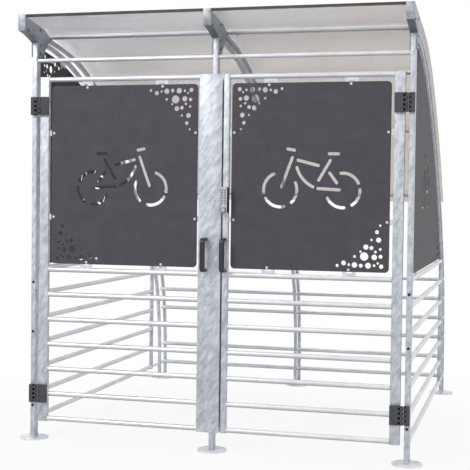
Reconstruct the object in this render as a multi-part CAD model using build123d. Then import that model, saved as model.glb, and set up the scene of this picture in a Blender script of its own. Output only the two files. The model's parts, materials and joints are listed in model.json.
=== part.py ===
from build123d import *
import os
from math import acos, cos, degrees, radians, sin, tan

# Bike shelter with two door leaves, in millimetres.
# X runs to the right along the door side, Y to the back and Z up.
# The origin is on the ground, midway between the outer posts,
# in the plane of the posts' front faces.

# Overall sizes
shelter_width = 2080.0
post_height = 2177.0
rear_foot_y = 2222.0

# Posts and feet
post_width = 28.0
post_depth = 45.0
post_corner = 2.5
foot_radius = 78.5
foot_sides = 24
foot_thickness = 8.0
anchor_hole_radius = 6.5
anchor_offset = 60.0

# Arched ribs: two tubes, one under the other, with slopes in degrees below level
rib_width = 20.0
rib_depth = 24.0
rib_over_post = 48.6
front_run = 263.0
front_slope = 7.5
crown_radius = 1755.0
crown_slope = 28.9
back_slope = 55.1
haunch_radius = 870.0
leg_lean = 11.3
leg_straight = 160.0
rib_spread_y = 130.0
rib_spread_z = 20.0
rib_post_gap = 8.0

# Purlins and roof sheet
purlin_diameter = 26.0
purlin_wall = 2.6
front_purlin_y = 200.0
purlin_slopes = [24.7, 36.2, 46.0]
roof_seat_gap = 0.5
roof_side_overhang = 20.0
roof_thickness = 8.0
roof_end_slope = 47.2
profile_wall = 1.5
profile_lip = 15.0

# Knee brackets on the post heads
bracket_reach = 163.0
end_plate_width = 42.0
end_plate_height = 86.0
end_plate_thickness = 6.0
end_plate_over_post = 123.0
cheek_thickness = 6.0
cheek_roof_gap = 6.0
cheek_top_run = 86.0
cheek_tail_run = 107.0
cheek_tail_height = 24.0
cheek_heel_run = 81.0
cheek_below_post = 82.0
cheek_foot_run = 5.0
cheek_tail_drop = 2.0
pad_foot_rise = 4.0
web_thickness = 4.0
web_rise = 5.0
web_post_overlap = 5.0

# Header rails and rear rails
header_diameter = 22.5
header_below_post = 101.0
header_y = 20.0

# Horizontal rails, at the same levels all round
rail_diameter = 27.0
rail_sides = 12
rail_seat_gap = 0.02
rail_bottom_z = 116.5
rail_pitch = 136.6
leaf_rail_count = 7
rear_rail_count = 6

# Side frames and their panels
side_stile_width = 21.0
side_stile_depth = 27.0
side_stile_leg_gap = 175.0
side_stile_bottom_z = 100.0
side_panel_post_gap = 16.0
side_panel_rib_gap = 24.0
side_panel_rail_gap = 9.0
side_panel_stile_gap = 12.0
side_bike_y = 640.0
side_bubble_reach = 335.0
side_bubble_inset = 35.0
side_bubble_tilt = 9.0

# Door leaves
leaf_bottom_z = 101.0
leaf_height = 1883.0
leaf_thickness = 27.0
leaf_front_y = -5.0
leaf_post_gap = 21.0
outer_stile_width = 53.0
left_centre_stile_width = 56.0
right_centre_stile_width = 32.0
centre_stile_post_gap = 11.0
stile_corner = 2.5
leaf_top_rail_diameter = 25.0
leaf_top_rail_drop = 1.5
cover_plate_width = 124.0
cover_plate_thickness = 4.0
leaf_seam = 6.0

# Door stop strips on the middle post
stop_width = 48.0
stop_thickness = 4.0
stop_gap = 6.0

# Infill panels
panel_thickness = 4.0
panel_front_y = 0.0
panel_outer_gap = 16.0
left_panel_inner_gap = 10.0
right_panel_inner_gap = 13.0
panel_top_gap = 22.5
panel_bottom_gap = 20.5
panel_corner = 22.0
clip_thickness = 3.0
clip_lap = 14.0
clip_seat_overlap = 1.0
wide_clip = 70.0
narrow_clip = 30.0
end_clip_inset = 203.0
side_clip_inset = 255.5
side_panel_clip_slopes = [14.0, 32.0, 46.0]
side_panel_clip_inset = 300.0

# Bicycle cut-out, measured from the front hub
bike_front_hub_inset = 261.0
bike_hub_over_sill = 413.5
bike_wheel_radius = 88.0
bike_wheelbase = 326.0
bike_stroke = 16.0
front_wheel_arcs = [(105.0, 90.0), (205.0, 83.0), (308.0, 82.0)]
rear_wheel_arcs = [(20.0, 82.0), (202.0, 78.0), (298.0, 70.0)]
handlebar = ((30.0, 212.0), (81.0, 203.0))
head_and_fork = ((65.0, 174.0), (4.0, 8.0))
top_tube = ((85.0, 155.0), (206.0, 124.0))
saddle = ((246.0, 186.0), (309.0, 186.0))
seat_tube = ((264.0, 159.0), (197.0, 44.0))
chain_stay = ((190.0, 9.0), (316.0, 2.0))
seat_stay = ((253.0, 94.0), (299.0, 32.0))
down_tube_centre = (238.0, 159.0)
down_tube_radius = 157.0
down_tube_start = 193.0
down_tube_turn = 55.0
bike_arc_chords = 4

# Round cut-outs: place along and down from a corner, and radius
bubble_sides = 8
bubble_places = [
    (106.0, 34.0, 15.0),
    (175.0, 36.0, 14.0),
    (75.0, 77.0, 14.0),
    (126.0, 80.0, 21.0),
    (118.0, 128.0, 13.0),
    (54.0, 165.0, 13.0),
]

# Hinges
hinge_axis_gap = 10.0
hinge_axis_y = -10.0
hinge_height = 98.0
hinge_knuckles = 5
hinge_knuckle_radius = 9.0
hinge_knuckle_gap = 1.0
hinge_pin_radius = 3.5
hinge_sides = 8
hinge_pin_clearance = 0.1
hinge_plate_thickness = 10.0
hinge_plate_clearance = 5.0
upper_hinge_z = 1827.0
lower_hinge_z = 253.0

# Pull handles and lock
handle_width = 27.0
handle_height = 180.0
handle_bar = 18.0
handle_reach = 60.0
handle_bend = 20.0
handle_bottom_z = 949.0
left_handle_seam_gap = 72.0
lock_width = 36.0
lock_height = 137.0
lock_depth = 44.0
lock_bottom_z = 1258.0
lock_edge = 3.0
lock_knob_inset = 6.0
lock_knob_radius = 11.0
lock_knob_depth = 9.0
fitting_seam_gap = 5.5

# Places that follow from the sizes above
side_x = (shelter_width - post_width) / 2
post_inner_x = side_x - post_width / 2
hinge_x = post_inner_x - leaf_post_gap + hinge_axis_gap
leaf_outer_x = post_inner_x - leaf_post_gap
leaf_back_y = leaf_front_y + leaf_thickness
leaf_mid_y = leaf_front_y + leaf_thickness / 2
leaf_top_z = leaf_bottom_z + leaf_height
left_stile_inner_x = -(post_width / 2 + centre_stile_post_gap)
left_stile_outer_x = left_stile_inner_x - left_centre_stile_width
cover_right_x = left_stile_outer_x + cover_plate_width
right_stile_inner_x = cover_right_x + leaf_seam
right_stile_outer_x = right_stile_inner_x + right_centre_stile_width
left_panel_inner_x = left_stile_outer_x - left_panel_inner_gap
right_panel_inner_x = right_stile_outer_x + right_panel_inner_gap
panel_outer_x = leaf_outer_x - outer_stile_width - panel_outer_gap
top_rail_z = leaf_top_z - leaf_top_rail_diameter / 2 - leaf_top_rail_drop
rail_levels = [rail_bottom_z + rail_pitch * k for k in range(leaf_rail_count)]
rail_radius = rail_diameter / 2
panel_bottom_z = rail_levels[-1] + rail_radius + panel_bottom_gap
panel_top_z = top_rail_z - leaf_top_rail_diameter / 2 - panel_top_gap
panel_back_y = panel_front_y + panel_thickness
outer_leg_y = rear_foot_y + rib_spread_y / 2
inner_leg_y = rear_foot_y - rib_spread_y / 2
side_stile_back_y = inner_leg_y - side_stile_leg_gap
side_stile_front_y = side_stile_back_y - side_stile_depth
rail_band = rib_depth / 2 + rail_radius + rail_seat_gap
roof_width = 2 * (side_x + roof_side_overhang)
purlin_offset = (rib_depth + purlin_diameter) / 2
roof_under = rib_depth / 2 + purlin_diameter + roof_seat_gap


# The rib line

def turn(start, end):
    """Run and fall of an arc of radius one between two slopes."""
    first = radians(start)
    last = radians(end)
    return sin(last) - sin(first), cos(first) - cos(last)


def rib_arcs():
    """Radius, first slope and last slope of the four arcs, each tangent to the next."""
    haunch_slope = 90.0 - leg_lean
    crown_run, crown_fall = turn(front_slope, crown_slope)
    back_run, back_fall = turn(crown_slope, back_slope)
    haunch_run, haunch_fall = turn(back_slope, haunch_slope)
    ankle_run, ankle_fall = turn(haunch_slope, 90.0)
    run_left = outer_leg_y - crown_y - crown_radius * crown_run - haunch_radius * haunch_run
    fall_left = crown_z - foot_thickness - leg_straight
    fall_left -= crown_radius * crown_fall + haunch_radius * haunch_fall
    cross = back_run * ankle_fall - ankle_run * back_fall
    back_radius = (run_left * ankle_fall - fall_left * ankle_run) / cross
    ankle_radius = (fall_left * back_run - run_left * back_fall) / cross
    return [
        (crown_radius, front_slope, crown_slope),
        (back_radius, crown_slope, back_slope),
        (haunch_radius, back_slope, haunch_slope),
        (ankle_radius, haunch_slope, 90.0),
    ]


crown_y = post_depth + front_run
crown_z = post_height + rib_over_post - front_run * tan(radians(front_slope))
arcs = rib_arcs()


def rib_point(slope, offset=0.0, shift=(0.0, 0.0)):
    """Point (y, z) of the rib line at a slope, moved outward by the offset."""
    y = crown_y + shift[0]
    z = crown_z + shift[1]
    for radius, start, end in arcs:
        run, fall = turn(start, min(max(slope, start), end))
        y += radius * run
        z -= radius * fall
    angle = radians(slope)
    return y + offset * sin(angle), z + offset * cos(angle)


def front_z(y, offset=0.0, shift=(0.0, 0.0)):
    """Height of the straight front run at a place along Y."""
    start_y, start_z = rib_point(front_slope, offset, shift)
    return start_z + (start_y - y) * tan(radians(front_slope))


def slope_at(height, offset=0.0, shift=(0.0, 0.0)):
    """Slope of the offset rib line where it passes a height."""
    for radius, start, end in arcs:
        start_z = rib_point(start, offset, shift)[1]
        end_z = rib_point(end, offset, shift)[1]
        if end_z <= height <= start_z:
            return degrees(acos(cos(radians(start)) - (start_z - height) / (radius + offset)))
    return 90.0


def rib_edges(offset, front_y, last_slope, foot_z=None, shift=(0.0, 0.0)):
    """Edges of an offset rib line, from a front place to a slope or on down to the foot."""
    start = rib_point(front_slope, offset, shift)
    edges = [Line((0, front_y, front_z(front_y, offset, shift)), (0, *start))]
    for radius, first, last in arcs:
        if first >= last_slope:
            break
        end = min(last, last_slope)
        points = [rib_point(slope, offset, shift) for slope in (first, (first + end) / 2, end)]
        edges.append(ThreePointArc(*[(0, *point) for point in points]))
    if foot_z is not None:
        leg_y, leg_z = rib_point(90.0, offset, shift)
        edges.append(Line((0, leg_y, leg_z), (0, leg_y, foot_z)))
    return edges


def rib_band(low, high, width, front_y, last_slope=90.0, foot_z=None, shift=(0.0, 0.0)):
    """Solid between two offsets of the rib line, centred on X = 0."""
    under = rib_edges(low, front_y, last_slope, foot_z, shift)
    over = rib_edges(high, front_y, last_slope, foot_z, shift)
    joins = [Line(under[0] @ 0, over[0] @ 0), Line(under[-1] @ 1, over[-1] @ 1)]
    face = Face(Wire([edge.edge() for edge in under + over + joins]))
    return extrude(face, amount=width / 2, dir=(1, 0, 0), both=True)


# Shared shapes

def box(x0, x1, y0, y1, z0, z1):
    """Box between two corners, given in either order along X."""
    size = (abs(x1 - x0), y1 - y0, z1 - z0)
    middle = ((x0 + x1) / 2, (y0 + y1) / 2, (z0 + z1) / 2)
    return Pos(*middle) * Box(*size)


def tube_section(diameter, lean=0.0):
    """Section of a rail: a polygon of the tube's full width, with a flat on each side it seats on."""
    section = RegularPolygon(diameter / 2, rail_sides, major_radius=False)
    return Rot(0, 0, 180 / rail_sides - lean) * section


def bar_along_x(x0, x1, y, z, diameter, lean=0.0, wall=None):
    """Bar or tube from one X to another, with its flats turned to a rib's slope."""
    section = tube_section(diameter, lean)
    if wall is not None:
        section -= tube_section(diameter - 2 * wall, lean)
    plane = Plane(origin=(min(x0, x1), y, z), x_dir=(0, 1, 0), z_dir=(1, 0, 0))
    return extrude(plane * section, amount=abs(x1 - x0))


def bar_along_y(x, y0, y1, z, diameter):
    """Rail from one Y to another."""
    plane = Plane(origin=(x, y0, z), x_dir=(1, 0, 0), z_dir=(0, 1, 0))
    return extrude(plane * tube_section(diameter), amount=y1 - y0)


def upright(x0, x1, y0, y1, z0, z1, corner):
    """Upright rectangular tube with eased corners, with its ends closed."""
    section = Rectangle(abs(x1 - x0), y1 - y0)
    section = chamfer(section.vertices(), corner)
    return extrude(Pos((x0 + x1) / 2, (y0 + y1) / 2, z0) * section, amount=z1 - z0)


def side_plate(edges, x0, x1):
    """Plate parallel to the side frames, from edges drawn at X = 0."""
    face = Pos(min(x0, x1), 0, 0) * Face(Wire([edge.edge() for edge in edges]))
    return extrude(face, amount=abs(x1 - x0), dir=(1, 0, 0))


def polygon_edges(points):
    """Straight edges through (y, z) points, closed."""
    corners = [(0, *point) for point in points]
    return [Line(a, b) for a, b in zip(corners, corners[1:] + corners[:1])]


# Posts, feet and ribs

def post(x):
    return upright(
        x - post_width / 2, x + post_width / 2, 0, post_depth, foot_thickness, post_height, post_corner
    )


def foot(x, y, anchors):
    """Foot disc of many sides with round anchor holes at the given places about its centre."""
    disc = RegularPolygon(foot_radius, foot_sides)
    for dx, dy in anchors:
        disc -= Pos(dx, dy) * Circle(anchor_hole_radius)
    return extrude(Pos(x, y, 0) * disc, amount=foot_thickness)


def rib_tube(shift):
    half = rib_depth / 2
    front_y = post_depth + rib_post_gap
    return rib_band(-half, half, rib_width, front_y, foot_z=foot_thickness, shift=shift)


inner_shift = (-rib_spread_y, -rib_spread_z)
outer_tube = rib_tube((0.0, 0.0))
inner_tube = rib_tube(inner_shift)


def under_rib(solid, x):
    """What is left of an upright or rail below and in front of the inner rib tube."""
    half = rib_depth / 2
    front_y = post_depth + rib_post_gap
    blade = rib_band(-half, rib_depth, 2 * rail_diameter, front_y, foot_z=0.0, shift=inner_shift)
    rest = solid - Pos(x, 0, 0) * blade
    return rest.solids().sort_by(lambda piece: piece.center().Y + piece.center().Z)[0]


# Knee brackets

def knee_bracket(x):
    """End plate, two cheeks that clasp the post and ribs, and a curved web under the arm."""
    plate_back_y = end_plate_thickness - bracket_reach
    plate_top_z = post_height + end_plate_over_post
    plate_bottom_z = plate_top_z - end_plate_height
    rib_heel_y = post_depth + cheek_heel_run
    tail_y = post_depth + cheek_tail_run
    tail_top_z = front_z(tail_y) + rib_depth / 2 - cheek_tail_drop
    heel_z = front_z(rib_heel_y, shift=inner_shift)
    web_end_z = post_height - web_post_overlap
    web_mid = (plate_back_y / 2, (plate_bottom_z + web_end_z) / 2 + web_rise)
    front_top = (plate_back_y, front_z(plate_back_y, roof_under) - cheek_roof_gap)
    crest = (cheek_top_run, front_z(cheek_top_run, roof_under) - cheek_roof_gap)
    low_back = (post_depth + cheek_foot_run, post_height - cheek_below_post)
    outline = [
        front_top,
        crest,
        (tail_y, tail_top_z),
        (tail_y, tail_top_z - cheek_tail_height),
        (rib_heel_y, heel_z),
        low_back,
        (0, post_height - cheek_below_post),
        (0, web_end_z),
    ]
    start = (0, plate_back_y, plate_bottom_z)
    end = (0, 0, web_end_z)
    under_arc = ThreePointArc(end, (0, *web_mid), start)
    edges = polygon_edges(outline)[:-1]
    edges += [under_arc, Line(start, (0, *front_top))]
    inner = post_width / 2
    outer = inner + cheek_thickness
    over_arc = ThreePointArc(
        (0, 0, web_end_z + web_thickness),
        (0, web_mid[0], web_mid[1] + web_thickness),
        (0, plate_back_y, plate_bottom_z + web_thickness),
    )
    web_edges = [under_arc, over_arc, Line(under_arc @ 0, over_arc @ 0), Line(under_arc @ 1, over_arc @ 1)]
    pad_y = post_depth + rib_post_gap
    pad_outline = [
        (pad_y, low_back[1] + pad_foot_rise),
        (rib_heel_y, heel_z),
        (tail_y, tail_top_z - cheek_tail_height),
        (tail_y, tail_top_z),
        crest,
        (pad_y, front_z(pad_y, roof_under) - cheek_roof_gap),
    ]
    bracket = side_plate(web_edges, -inner, inner)
    bracket += box(
        -end_plate_width / 2, end_plate_width / 2, -bracket_reach, plate_back_y, plate_bottom_z, plate_top_z
    )
    for side in (-1, 1):
        bracket += side_plate(edges, side * inner, side * outer)
        bracket += side_plate(polygon_edges(pad_outline), side * rib_width / 2, side * inner)
    return Pos(x, 0, 0) * bracket


# Roof

def purlins():
    """Four tubes across the ribs: one on the straight front run and three on the arcs."""
    places = [(front_purlin_y, front_z(front_purlin_y, purlin_offset), front_slope)]
    places += [(*rib_point(slope, purlin_offset), slope) for slope in purlin_slopes]
    reach = side_x + rib_width / 2
    return [bar_along_x(-reach, reach, y, z, purlin_diameter, lean, purlin_wall) for y, z, lean in places]


def roof_sheet():
    front_y = end_plate_thickness - bracket_reach + profile_wall
    return rib_band(roof_under, roof_under + roof_thickness, roof_width, front_y, roof_end_slope)


def roof_front_profile():
    """Channel that closes the front edge of the sheet."""
    front_y = end_plate_thickness - bracket_reach
    low = roof_under - profile_wall
    high = roof_under + roof_thickness + profile_wall
    back_y = front_y + profile_lip
    sheet_y = front_y + profile_wall
    outline = [
        (front_y, front_z(front_y, low)),
        (back_y, front_z(back_y, low)),
        (back_y, front_z(back_y, roof_under)),
        (sheet_y, front_z(sheet_y, roof_under)),
        (sheet_y, front_z(sheet_y, roof_under + roof_thickness)),
        (back_y, front_z(back_y, roof_under + roof_thickness)),
        (back_y, front_z(back_y, high)),
        (front_y, front_z(front_y, high)),
    ]
    return side_plate(polygon_edges(outline), -roof_width / 2, roof_width / 2)


# Rails of the fixed frame

def header_rails():
    z = post_height - header_below_post
    inner = post_width / 2
    return [bar_along_x(side * inner, side * post_inner_x, header_y, z, header_diameter) for side in (-1, 1)]


def rear_rails():
    """Rails on the inner face of the outer rib tubes, each where the tube passes its level."""
    reach = side_x + rib_width / 2
    rails = []
    for z in rail_levels[:rear_rail_count]:
        slope = slope_at(z, -rail_band)
        y = rib_point(slope, -rail_band)[0]
        rails.append(bar_along_x(-reach, reach, y, z, rail_diameter, slope))
    return rails


def side_rails(x):
    """Rails from the post to the rear stile; the top one stops at the inner rib tube."""
    rails = []
    for z in rail_levels:
        rail = bar_along_y(x, post_depth, side_stile_front_y, z, rail_diameter)
        rails.append(under_rib(rail, x))
    return rails


def side_stile(x):
    """Rear upright of a side frame, cut off under the inner rib tube."""
    half = side_stile_width / 2
    stile = box(
        x - half, x + half, side_stile_front_y, side_stile_back_y, side_stile_bottom_z, post_height
    )
    return under_rib(stile, x)


def leg_ties(x):
    """Short bars on the bottom rail's level: rear stile to inner leg, inner leg to rear rail."""
    z = rail_levels[0]
    half = rib_depth / 2
    first = bar_along_y(x, side_stile_back_y, inner_leg_y - half, z, rib_width)
    rear_rail_y = outer_leg_y - rail_band - rail_radius
    second = bar_along_y(x, inner_leg_y + half, rear_rail_y, z, rib_width)
    return [first, second]


# Panels with cut-outs

def slot(start, end):
    """Straight cut between two points."""
    line = Line(start, end)
    place = Pos(line @ 0.5) * Rot(0, 0, line.tangent_angle_at(0.5))
    return place * Rectangle(line.length, bike_stroke)


def curved_slot(centre, radius, start, size):
    """Cut along an arc in a few chords, with its angles in degrees."""
    steps = [i / bike_arc_chords for i in range(bike_arc_chords + 1)]
    outer = CenterArc(centre, radius + bike_stroke / 2, start, size)
    inner = CenterArc(centre, radius - bike_stroke / 2, start, size)
    points = [outer @ step for step in steps] + [inner @ step for step in reversed(steps)]
    return Polygon(*points, align=None)


def bicycle():
    """Stencil of a bicycle facing left, with the front hub at the origin."""
    cut = Sketch()
    for hub, wheel_arcs in ((0.0, front_wheel_arcs), (bike_wheelbase, rear_wheel_arcs)):
        for start, size in wheel_arcs:
            cut += curved_slot((hub, 0), bike_wheel_radius, start, size)
    frame_strokes = (head_and_fork, top_tube, seat_tube, chain_stay, seat_stay)
    for start, end in (handlebar, saddle, *frame_strokes):
        cut += slot(start, end)
    return cut + curved_slot(down_tube_centre, down_tube_radius, down_tube_start, down_tube_turn)


def bubbles():
    """Cluster of round cut-outs that starts in a top left corner at the origin."""
    cluster = Sketch()
    for along, drop, radius in bubble_places:
        cluster += Pos(along, -drop) * RegularPolygon(radius, bubble_sides)
    return cluster


def leaf_panel(inner_x):
    """Infill panel of a leaf, with a bubble cluster in two opposite corners."""
    width = panel_outer_x - inner_x
    height = panel_top_z - panel_bottom_z
    plate = Pos(width / 2, height / 2) * RectangleRounded(width, height, panel_corner)
    plate -= Pos(bike_front_hub_inset, bike_hub_over_sill) * bicycle()
    plate -= Pos(0, height) * bubbles()
    plate -= Pos(width, 0) * Rot(0, 0, 180) * bubbles()
    plane = Plane(origin=(inner_x, panel_back_y, panel_bottom_z), x_dir=(1, 0, 0), z_dir=(0, -1, 0))
    return extrude(plane * plate, amount=panel_thickness)


def leaf_clips(inner_x, stile_x):
    """Small plates behind the panel that reach to the rails and stiles round it."""
    front_y = panel_back_y
    back_y = panel_back_y + clip_thickness
    stile_inner_x = leaf_outer_x - outer_stile_width
    low_rail_z = rail_levels[-1]
    clips = []
    for x in (inner_x + end_clip_inset, panel_outer_x - end_clip_inset):
        left = x - wide_clip / 2
        right = x + wide_clip / 2
        upper = box(left, right, front_y, back_y, panel_top_z - clip_lap, top_rail_z)
        clips.append(upper - bar_along_x(left, right, leaf_mid_y, top_rail_z, leaf_top_rail_diameter))
        lower = box(left, right, front_y, back_y, low_rail_z, panel_bottom_z + clip_lap)
        clips.append(lower - bar_along_x(left, right, leaf_mid_y, low_rail_z, rail_diameter))
    for z in (panel_bottom_z + side_clip_inset, panel_top_z - side_clip_inset):
        low = z - narrow_clip / 2
        high = z + narrow_clip / 2
        clips.append(box(stile_x, inner_x + clip_lap, front_y, back_y, low, high))
        clips.append(box(panel_outer_x - clip_lap, stile_inner_x, front_y, back_y, low, high))
    return clips


side_panel_bottom_z = rail_levels[-1] + rail_radius + side_panel_rail_gap
side_panel_front_y = post_depth + side_panel_post_gap
side_panel_offset = -(rib_depth / 2 + side_panel_rib_gap)
side_panel_last_slope = slope_at(side_panel_bottom_z, side_panel_offset, inner_shift)
side_panel_rear_y = rib_point(side_panel_last_slope, side_panel_offset, inner_shift)[0]


def side_panel(x):
    """Side infill panel under the inner rib tube, with the same cut-outs as the leaves."""
    edges = rib_edges(side_panel_offset, side_panel_front_y, side_panel_last_slope, shift=inner_shift)
    corner = (0, side_panel_front_y, side_panel_bottom_z)
    edges += [Line(edges[-1] @ 1, corner), Line(corner, edges[0] @ 0)]
    half = panel_thickness / 2
    panel = side_plate(edges, x - half, x + half)
    bike_z = panel_bottom_z + bike_hub_over_sill
    upper_z = front_z(side_panel_front_y, side_panel_offset, inner_shift)
    upper_place = Pos(side_panel_front_y + side_bubble_inset, upper_z) * Rot(0, 0, -side_bubble_tilt)
    lower_place = Pos(side_panel_rear_y - side_bubble_reach, side_panel_bottom_z)
    cuts = Pos(side_bike_y, bike_z) * bicycle() + upper_place * bubbles()
    cuts += lower_place * mirror(bubbles(), about=Plane.XZ)
    plane = Plane(origin=(x, 0, 0), x_dir=(0, 1, 0), z_dir=(1, 0, 0))
    panel -= extrude(plane * cuts, amount=panel_thickness, both=True)
    stile_y = side_stile_front_y - side_panel_stile_gap
    return panel - box(x - half, x + half, stile_y, rear_foot_y, 0, post_height)


def side_clips(side):
    """Small plates on the inner face of a side panel that reach to the rib, rail and post."""
    outer_x = side * (side_x - panel_thickness / 2)
    inner_x = outer_x - side * clip_thickness
    clips = []
    high = -rib_depth / 2
    low = side_panel_offset - clip_lap
    for slope in side_panel_clip_slopes:
        y, z = rib_point(slope, (low + high) / 2, inner_shift)
        plate = Box(clip_thickness, wide_clip, high - low + clip_seat_overlap)
        clips.append(Pos((inner_x + outer_x) / 2, y, z) * Rot(-slope, 0, 0) * plate)
    clips = [(clip - Pos(side * side_x, 0, 0) * inner_tube) for clip in clips]
    rail_z = rail_levels[-1]
    for y in (side_panel_front_y + side_panel_clip_inset, side_panel_rear_y - side_panel_clip_inset):
        start = y - wide_clip / 2
        end = y + wide_clip / 2
        plate = box(inner_x, outer_x, start, end, rail_z, side_panel_bottom_z + clip_lap)
        clips.append(plate - bar_along_y(side * side_x, start, end, rail_z, rail_diameter))
    for z in (panel_bottom_z + side_clip_inset, panel_top_z - side_clip_inset):
        low_z = z - narrow_clip / 2
        high_z = z + narrow_clip / 2
        clips.append(box(inner_x, outer_x, post_depth, side_panel_front_y + clip_lap, low_z, high_z))
    return clips


# Door leaves, drawn on the right of the middle and mirrored for the left one

def outer_stile():
    return upright(
        leaf_outer_x - outer_stile_width,
        leaf_outer_x,
        leaf_front_y,
        leaf_back_y,
        leaf_bottom_z,
        leaf_top_z,
        stile_corner,
    )


def centre_stile(inner_x, outer_x):
    return upright(inner_x, outer_x, leaf_front_y, leaf_back_y, leaf_bottom_z, leaf_top_z, stile_corner)


def leaf_rails(stile_x):
    """Horizontal rails of a leaf and the thinner one along its top."""
    end_x = leaf_outer_x - outer_stile_width
    rails = [bar_along_x(stile_x, end_x, leaf_mid_y, z, rail_diameter) for z in rail_levels]
    rails.append(bar_along_x(stile_x, end_x, leaf_mid_y, top_rail_z, leaf_top_rail_diameter))
    return rails


def cover_plate():
    """Plate on the left leaf that covers the middle post and stops short of the right leaf."""
    return box(
        left_stile_outer_x,
        cover_right_x,
        leaf_front_y - cover_plate_thickness,
        leaf_front_y,
        leaf_bottom_z,
        leaf_top_z,
    )


def centre_stops():
    """Two strips beside the middle post that the closed leaves come to rest against."""
    inner = post_width / 2
    front_y = leaf_back_y + stop_gap
    strips = []
    for side in (-1, 1):
        strips.append(
            box(
                side * inner,
                side * (inner + stop_width),
                front_y,
                front_y + stop_thickness,
                leaf_bottom_z,
                leaf_top_z,
            )
        )
    return strips


# Hinges

def hinge_bar(z, radius, length, inside=False):
    """Many-sided bar on the hinge axis, inside a circle of the radius or, for a bore, round it."""
    section = RegularPolygon(radius, hinge_sides, major_radius=not inside)
    return Pos(hinge_x, hinge_axis_y, z) * extrude(section, amount=length / 2, both=True)


def knuckles(z, first):
    """Every second knuckle of a hinge, starting with the first or second one from below."""
    pitch = hinge_height / hinge_knuckles
    length = pitch - hinge_knuckle_gap
    base_z = z - hinge_height / 2 + pitch / 2
    centres = [base_z + pitch * i for i in range(first, hinge_knuckles, 2)]
    return [(centre, hinge_bar(centre, hinge_knuckle_radius, length)) for centre in centres]


def hinge_post_half(z):
    """Plate on the post with the outer knuckles and the pin."""
    plate_x = hinge_x + hinge_knuckle_radius + hinge_plate_clearance
    low = z - hinge_height / 2
    high = z + hinge_height / 2
    half = box(plate_x, side_x + post_width / 2, -hinge_plate_thickness, 0, low, high)
    reach = (hinge_height / hinge_knuckles - hinge_knuckle_gap) / 2
    for centre, knuckle in knuckles(z, 0):
        half += knuckle
        half += box(hinge_x, plate_x, -hinge_plate_thickness, 0, centre - reach, centre + reach)
    return half + hinge_bar(z, hinge_pin_radius, hinge_height - hinge_knuckle_gap)


def hinge_leaf_half(z):
    """Plate on the outer stile with the inner knuckles, bored for the pin."""
    plate_x = hinge_x - hinge_knuckle_radius - hinge_plate_clearance
    front_y = leaf_front_y - hinge_plate_thickness
    low = z - hinge_height / 2
    high = z + hinge_height / 2
    half = box(leaf_outer_x - outer_stile_width, plate_x, front_y, leaf_front_y, low, high)
    reach = (hinge_height / hinge_knuckles - hinge_knuckle_gap) / 2
    for centre, knuckle in knuckles(z, 1):
        half += knuckle
        half += box(plate_x, hinge_x, front_y, leaf_front_y, centre - reach, centre + reach)
    return half - hinge_bar(z, hinge_pin_radius + hinge_pin_clearance, hinge_height, inside=True)


# Handles and lock

def handle(x, face_y):
    """Bow handle bent from flat bar, standing on the face behind it."""
    low = handle_bottom_z + handle_bar / 2
    high = handle_bottom_z + handle_height - handle_bar / 2
    reach = handle_reach - handle_bar / 2
    corners = [(-reach, low), (-reach, high)]
    path = FilletPolyline((0, low), *corners, (0, high), radius=handle_bend)
    profile = trace(path, handle_bar)
    plane = Plane(origin=(x - handle_width / 2, face_y, 0), x_dir=(0, 1, 0), z_dir=(1, 0, 0))
    return extrude(plane * profile, amount=handle_width)


def keypad_lock():
    """Lock body with eased front edges and a turning knob near its foot."""
    x = cover_right_x + fitting_seam_gap + lock_width / 2
    front_y = leaf_front_y - lock_depth
    z = lock_bottom_z + lock_height / 2
    body = Pos(x, leaf_front_y - lock_depth / 2, z) * Box(lock_width, lock_depth, lock_height)
    body = chamfer(body.faces().sort_by(Axis.Y)[0].edges(), lock_edge)
    knob_z = lock_bottom_z + lock_knob_radius + lock_knob_inset
    plane = Plane(origin=(x, front_y, knob_z), z_dir=(0, -1, 0))
    return body + extrude(plane * Circle(lock_knob_radius), amount=lock_knob_depth)


# Nodes

def mirrored(solids):
    return [mirror(solid, about=Plane.YZ) for solid in solids]


def solids_of(shapes):
    return [solid for shape in shapes for solid in shape.solids()]


diagonal = anchor_offset / 2 ** 0.5
front_anchors = [(dx * diagonal, dy * diagonal) for dx in (-1, 1) for dy in (-1, 1)]
rear_anchors = [(-anchor_offset, 0), (anchor_offset, 0)]
frame_places = {"left": -side_x, "middle": 0.0, "right": side_x}
nodes = {}
for name, x in frame_places.items():
    nodes["front_post_" + name] = [post(x)]
    nodes["knee_bracket_" + name] = [knee_bracket(x)]
    nodes["arched_rib_" + name] = [Pos(x, 0, 0) * outer_tube, Pos(x, 0, 0) * inner_tube]
nodes["front_feet"] = [foot(x, post_depth / 2, front_anchors) for x in frame_places.values()]
nodes["rear_feet"] = [foot(x, rear_foot_y, rear_anchors) for x in frame_places.values()]
nodes["roof_purlins"] = purlins()
nodes["roof_sheet"] = [roof_sheet()]
nodes["roof_front_profile"] = [roof_front_profile()]
nodes["header_rails"] = header_rails()
nodes["rear_rails"] = rear_rails()
nodes["centre_stops"] = centre_stops()
for name, side in (("left", -1), ("right", 1)):
    nodes["side_rails_" + name] = side_rails(side * side_x)
    nodes["side_stile_" + name] = [side_stile(side * side_x)]
    nodes["leg_ties_" + name] = leg_ties(side * side_x)
    nodes["side_panel_" + name] = [side_panel(side * side_x)]
    nodes["side_panel_clips_" + name] = side_clips(side)

post_hinges = [hinge_post_half(z) for z in (upper_hinge_z, lower_hinge_z)]
leaf_hinges = [hinge_leaf_half(z) for z in (upper_hinge_z, lower_hinge_z)]
nodes["post_hinges_left"] = mirrored(post_hinges)
nodes["post_hinges_right"] = post_hinges
nodes["left_leaf_hinges"] = mirrored(leaf_hinges)
nodes["right_leaf_hinges"] = leaf_hinges

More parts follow.
